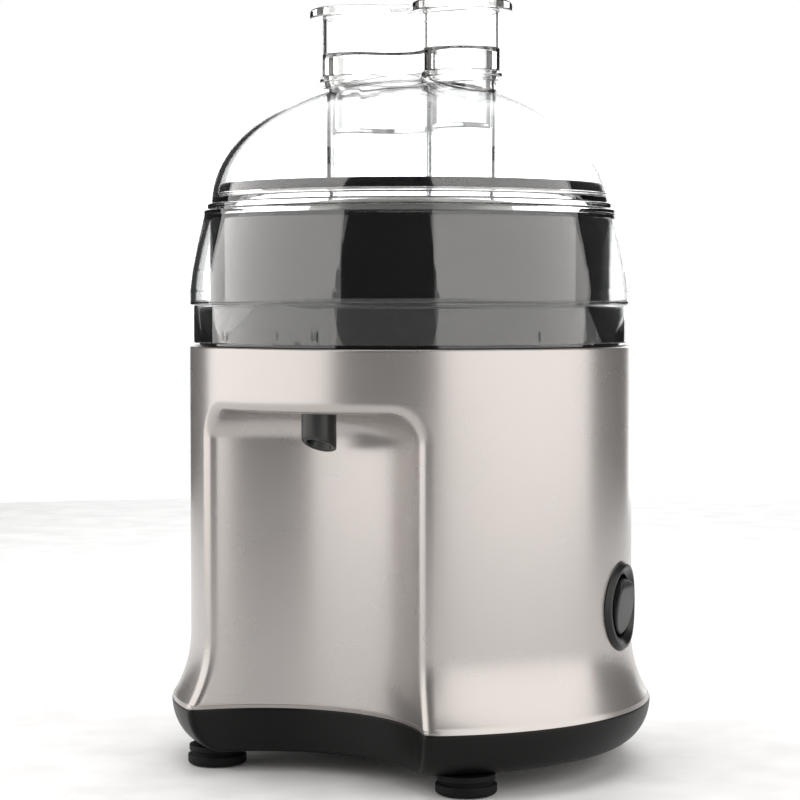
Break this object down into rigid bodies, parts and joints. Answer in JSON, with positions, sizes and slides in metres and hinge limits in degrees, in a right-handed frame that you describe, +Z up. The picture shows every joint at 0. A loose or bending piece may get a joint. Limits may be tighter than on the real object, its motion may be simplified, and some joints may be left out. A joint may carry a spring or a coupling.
{
  "type": "centrifugal juicer",
  "caption": "Compact centrifugal juicer: motor base with a glass alcove and spout, pulp bowl, spinning filter basket, clear domed lid with a kidney-shaped feed chute, and pusher.",
  "frame": {"origin": "on the drive axis, at the level of the surface that the feet stand on", "axes": "+Z up along the drive axis; -Y is the front, where the glass alcove and spout are; +X is the user's right, where the switch is"},
  "size_m": [0.1912, 0.1836, 0.297],
  "materials": {
    "silver_paint": "satin metallic paint over moulded plastic",
    "black_plastic": "semi-gloss black",
    "bowl_black": "high gloss black",
    "foot_rubber": "matt rubber",
    "switch_black": "satin black",
    "rocker_grey": "satin dark grey",
    "clear_plastic": "clear polycarbonate",
    "seal_rubber": "dark silicone",
    "steel": "brushed stainless steel",
    "zinc_steel": "zinc plated",
    "basket_white": "satin off-white",
    "lamination": "stacked laminations",
    "copper": "enamelled winding",
    "brass": "stamped brass",
    "fan_white": "satin"
  },
  "bodies": {
    "base": {"base_tray": "black_plastic", "foot_1": "foot_rubber", "foot_2": "foot_rubber", "foot_3": "foot_rubber", "foot_4": "foot_rubber", "base_screws": "zinc_steel", "cord_gland": "foot_rubber", "housing": "silver_paint", "switch_bezel": "switch_black", "switch_body": "switch_black", "rocker_pin": "zinc_steel", "motor_bracket": "zinc_steel", "bracket_screws": "zinc_steel", "isolator_bushes": "foot_rubber", "motor_stator": "lamination", "brush_holders": "brass", "lower_bearing": "zinc_steel", "upper_bearing": "zinc_steel", "deck": "black_plastic", "shaft_seal": "seal_rubber", "juice_spout": "black_plastic", "spout_gasket": "seal_rubber", "bowl": "bowl_black"},
    "drive": {"motor_shaft": "zinc_steel", "motor_rotor": "copper", "cooling_fan": "fan_white", "drive_coupling": "black_plastic", "basket_hub": "basket_white", "grater_disc": "steel", "filter_mesh": "steel", "basket_ring": "basket_white"},
    "lid_ring": {"lid_seal": "seal_rubber"},
    "lid": {"lid": "clear_plastic"},
    "pusher": {"pusher": "clear_plastic"},
    "switch": {"rocker": "rocker_grey"}
  },
  "joints": [
    {"name": "drive_spin", "type": "hinge", "parent": "base", "child": "drive", "pos_m": [0, 0, 0.1], "axis": [0, 0, 1], "continuous": true},
    {"name": "lid_lift", "type": "slide", "parent": "base", "child": "lid_ring", "axis": [0, 0, 1], "range_m": [0, 0.12]},
    {"name": "lid_turn", "type": "hinge", "parent": "lid_ring", "child": "lid", "pos_m": [0, 0, 0.2], "axis": [0, 0, 1], "range_deg": [0, 20]},
    {"name": "pusher_slide", "type": "slide", "parent": "lid", "child": "pusher", "axis": [0, 0, 1], "range_m": [0, 0.05]},
    {"name": "switch_rock", "type": "hinge", "parent": "base", "child": "switch", "pos_m": [0.08417, 0.01183, 0.0636], "axis": [0.1392, -0.9903, 0], "range_deg": [0, 12]}
  ]
}
